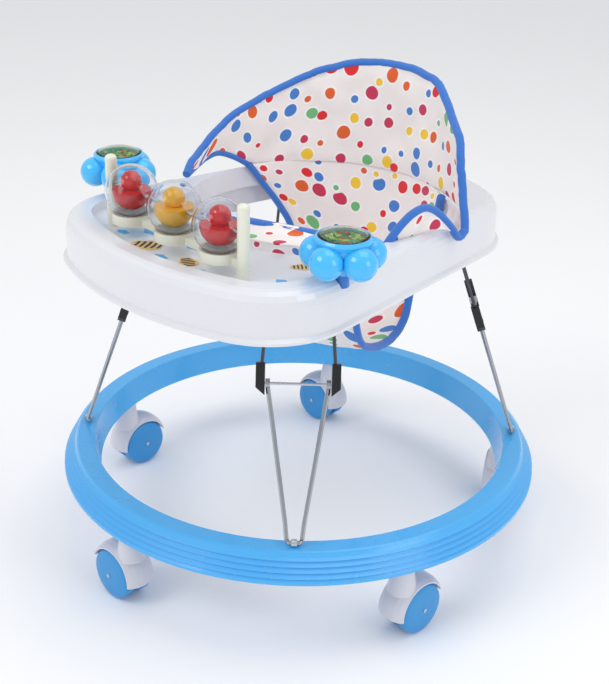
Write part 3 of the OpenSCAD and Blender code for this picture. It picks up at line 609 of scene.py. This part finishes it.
tape_nodes = bpy.data.node_groups.new("tape round an edge", "GeometryNodeTree")
for label, kind, value in (("Geometry", "NodeSocketGeometry", None),
                           ("Tape", "NodeSocketMaterial", None),
                           ("Half width", "NodeSocketFloat", 0.0045),
                           ("Half thickness", "NodeSocketFloat", 0.0035),
                           ("Pucker", "NodeSocketFloat", 0.001), ("Step", "NodeSocketFloat", 0.003)):
    socket = tape_nodes.interface.new_socket(name=label, in_out="INPUT", socket_type=kind)
    if value is not None:
        socket.default_value = value
tape_nodes.interface.new_socket(name="Geometry", in_out="OUTPUT",
                                socket_type="NodeSocketGeometry")
t_in, t_out = tape_nodes.nodes.new("NodeGroupInput"), tape_nodes.nodes.new("NodeGroupOutput")
to_curve = tape_nodes.nodes.new("GeometryNodeMeshToCurve")
resample = tape_nodes.nodes.new("GeometryNodeResampleCurve")
resample.mode = "LENGTH"
shift = tape_nodes.nodes.new("GeometryNodeSetPosition")
ripple = tape_nodes.nodes.new("ShaderNodeTexNoise")
ripple.inputs["Scale"].default_value = 55.0
ripple_centre = tape_nodes.nodes.new("ShaderNodeVectorMath")
ripple_centre.operation = "SUBTRACT"
ripple_centre.inputs[1].default_value = (0.5, 0.5, 0.5)
ripple_size = tape_nodes.nodes.new("ShaderNodeVectorMath")
ripple_size.operation = "SCALE"
profile = tape_nodes.nodes.new("GeometryNodeCurvePrimitiveCircle")
profile.inputs["Resolution"].default_value = 14
profile_scale = tape_nodes.nodes.new("GeometryNodeTransform")
combine = tape_nodes.nodes.new("ShaderNodeCombineXYZ")
sweep = tape_nodes.nodes.new("GeometryNodeCurveToMesh")
sweep.inputs["Fill Caps"].default_value = True
smooth = tape_nodes.nodes.new("GeometryNodeSetShadeSmooth")
realize = tape_nodes.nodes.new("GeometryNodeRealizeInstances")
paint = tape_nodes.nodes.new("GeometryNodeSetMaterial")
link = tape_nodes.links.new
link(t_in.outputs["Geometry"], to_curve.inputs["Mesh"])
link(to_curve.outputs["Curve"], resample.inputs["Curve"])
link(t_in.outputs["Step"], resample.inputs["Length"])
link(resample.outputs["Curve"], shift.inputs["Geometry"])
link(ripple.outputs["Color"], ripple_centre.inputs[0])
link(ripple_centre.outputs["Vector"], ripple_size.inputs[0])
link(t_in.outputs["Pucker"], ripple_size.inputs["Scale"])
link(ripple_size.outputs["Vector"], shift.inputs["Offset"])
profile.inputs["Radius"].default_value = 1.0
link(t_in.outputs["Half width"], combine.inputs["X"])
link(t_in.outputs["Half thickness"], combine.inputs["Y"])
combine.inputs["Z"].default_value = 1.0
link(profile.outputs["Curve"], profile_scale.inputs["Geometry"])
link(combine.outputs["Vector"], profile_scale.inputs["Scale"])
link(shift.outputs["Geometry"], sweep.inputs["Curve"])
link(profile_scale.outputs["Geometry"], sweep.inputs["Profile Curve"])
link(sweep.outputs["Mesh"], smooth.inputs["Geometry"])
link(smooth.outputs["Geometry"], realize.inputs["Geometry"])
link(realize.outputs["Geometry"], paint.inputs["Geometry"])
link(t_in.outputs["Tape"], paint.inputs["Material"])
link(paint.outputs["Geometry"], t_out.inputs["Geometry"])


def made_by_nodes(name, points, tree, values):
    """Runs a geometry tree on a line of points and keeps the plain mesh."""
    mesh = bpy.data.meshes.new(name)
    mesh.from_pydata([tuple(p) for p in points], [(i, i + 1) for i in range(len(points) - 1)], [])
    made = bpy.data.objects.new(name, mesh)
    bpy.context.scene.collection.objects.link(made)
    step = made.modifiers.new("made by nodes", "NODES")
    step.node_group = tree
    for socket in tree.interface.items_tree:
        if socket.item_type == "SOCKET" and socket.in_out == "INPUT" and socket.name in values:
            step[socket.identifier] = values[socket.name]
    bpy.context.view_layer.update()
    depsgraph = bpy.context.evaluated_depsgraph_get()
    result = bpy.data.meshes.new_from_object(made.evaluated_get(depsgraph))
    made.modifiers.clear()
    made.data = result
    return made


top_run = smooth_line(back_top, 120)
left_run = smooth_line([on_seat(104, 0.157, 0.437)] + back_low[1:6]
                       + [on_seat(55, 0.148, 0.408)], 60)
flap_run = smooth_line([back_top[-1]] + flap_top, 60)
right_edge = smooth_line([row[0] for row in sling_rows], 90)
left_edge = smooth_line([row[-1] for row in sling_rows], 90)
front_run = smooth_line([in_seat(x, -0.096, 0.417)
                         for x in (-0.093, -0.04, 0.0, 0.04, 0.093)], 40)
# each run: its line, whether it gets a mesh of its own, half its width, how far it puckers
tape_runs = [
    ("top_binding", top_run, False, 0.0048, 0.0032),
    ("left_arch_binding", left_run, False, 0.0048, 0.001),
    ("flap_binding", flap_run, False, 0.0052, 0.0012),
    ("left_hole_binding", left_edge, True, 0.0052, 0.0014),
    ("right_hole_binding", right_edge, True, 0.0052, 0.0014),
    ("front_binding", front_run, True, 0.0056, 0.0008)]
flatness, tape_step = 0.8, 0.003
for name, run, gives_way, half_width, pucker in tape_runs:
    tape = made_by_nodes(name, run, tape_nodes, {
        "Tape": blue_tape, "Half width": half_width, "Half thickness": half_width * flatness,
        "Pucker": pucker, "Step": tape_step})
    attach(tape, "tray")
    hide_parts("seat_piping")
    if gives_way:
        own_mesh(tape)
